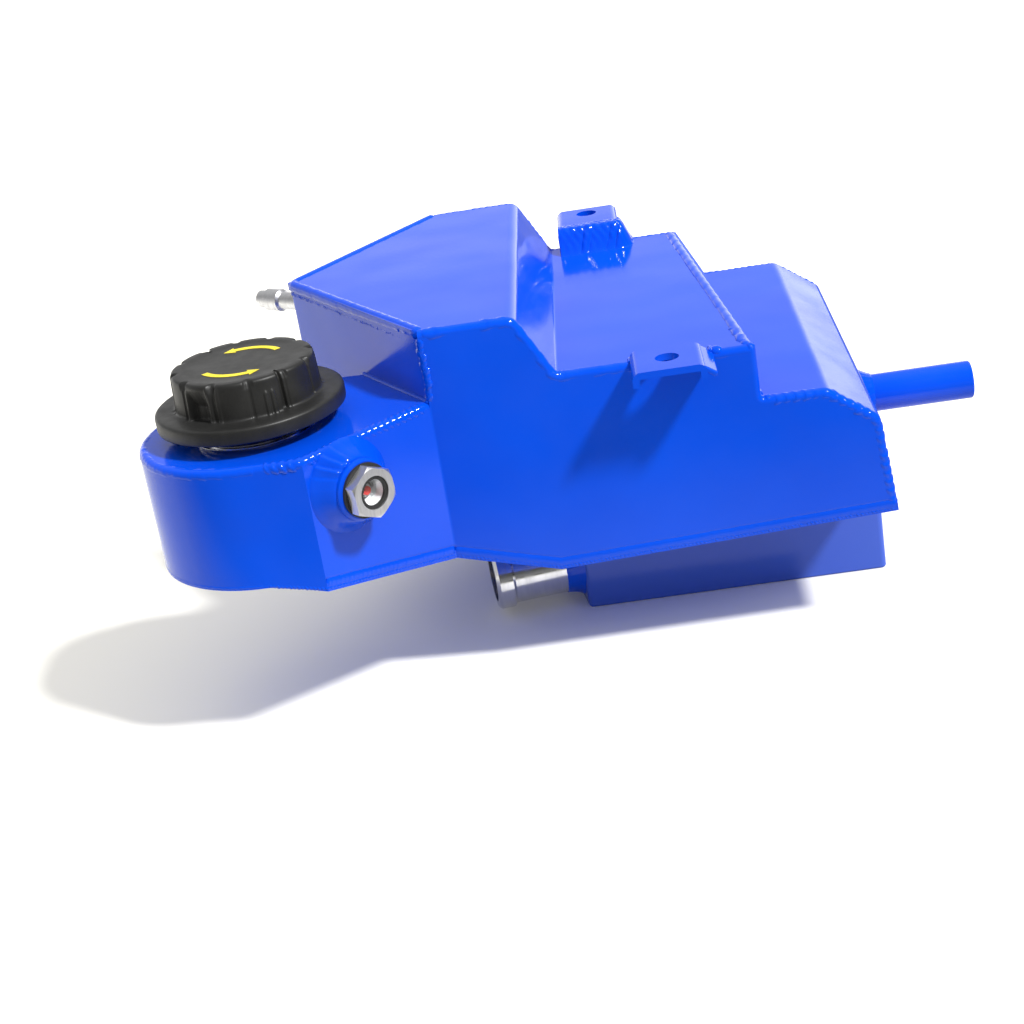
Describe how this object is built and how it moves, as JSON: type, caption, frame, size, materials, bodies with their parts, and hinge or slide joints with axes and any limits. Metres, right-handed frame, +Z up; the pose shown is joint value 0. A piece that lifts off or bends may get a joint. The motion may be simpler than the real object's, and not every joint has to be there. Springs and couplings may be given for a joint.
{
  "type": "coolant header tank",
  "caption": "Welded blue aluminium coolant header tank with a black screw cap, a sight glass, bracket tabs, a locating peg and bare metal hose fittings.",
  "frame": {"origin": "middle of the sump floor's underside, which the tank stands on", "axes": "+X to the tank's right end with the locating peg, +Y to the back with the raised bracket tab, +Z up through the filler"},
  "size_m": [0.3071, 0.2319, 0.1373],
  "materials": {
    "blue_coat": "gloss blue powder coat over aluminium",
    "bare_aluminium": "polished",
    "cap_black": "satin moulded",
    "plug_plastic": "satin moulded",
    "seal_rubber": "matt",
    "spring_steel": "drawn wire",
    "reflector_metal": "bright",
    "marker_red": "satin",
    "lens_glass": "clear"
  },
  "bodies": {
    "tank": {"front_plate": "blue_coat", "back_plate": "blue_coat", "left_wall": "blue_coat", "top_sheet": "blue_coat", "right_sheet": "blue_coat", "bottom_plate": "blue_coat", "pod_wall": "blue_coat", "pod_top": "blue_coat", "sump_wall": "blue_coat", "sump_floor": "blue_coat", "outlet_tube": "bare_aluminium", "return_spigot": "bare_aluminium", "locating_peg": "blue_coat", "front_bracket": "blue_coat", "rear_bracket": "blue_coat", "filler_neck": "bare_aluminium", "sight_bung": "blue_coat", "sight_washer": "seal_rubber", "sight_body": "bare_aluminium", "sight_reflector": "reflector_metal", "sight_marker": "marker_red", "sight_lens": "lens_glass", "sight_gasket": "seal_rubber"},
    "plug": {"cap_plug": "plug_plastic", "cap_seal": "seal_rubber", "valve_seat": "plug_plastic", "valve_spring": "spring_steel"},
    "shell": {"cap_shell": "cap_black"},
    "valve": {"valve_pad": "seal_rubber", "valve_disc": "plug_plastic"}
  },
  "joints": [
    {"name": "cap_lift", "type": "slide", "parent": "tank", "child": "plug", "axis": [0, 0, 1], "range_m": [0, 0.009]},
    {"name": "cap_turn", "type": "hinge", "parent": "plug", "child": "shell", "pos_m": [-0.16065, -0.09635, 0.125], "axis": [0, 0, 1], "range_deg": [0, 648.01]},
    {"name": "valve_lift", "type": "slide", "parent": "plug", "child": "valve", "axis": [0, 0, 1], "range_m": [0, 0.002], "stiffness_N_per_m": 4000, "springref_m": -0.006, "deforming": ["valve_spring"]}
  ],
  "couplings": [
    {"joint": "cap_turn", "follows": "cap_lift", "rad_per_m": 1256.6}
  ]
}
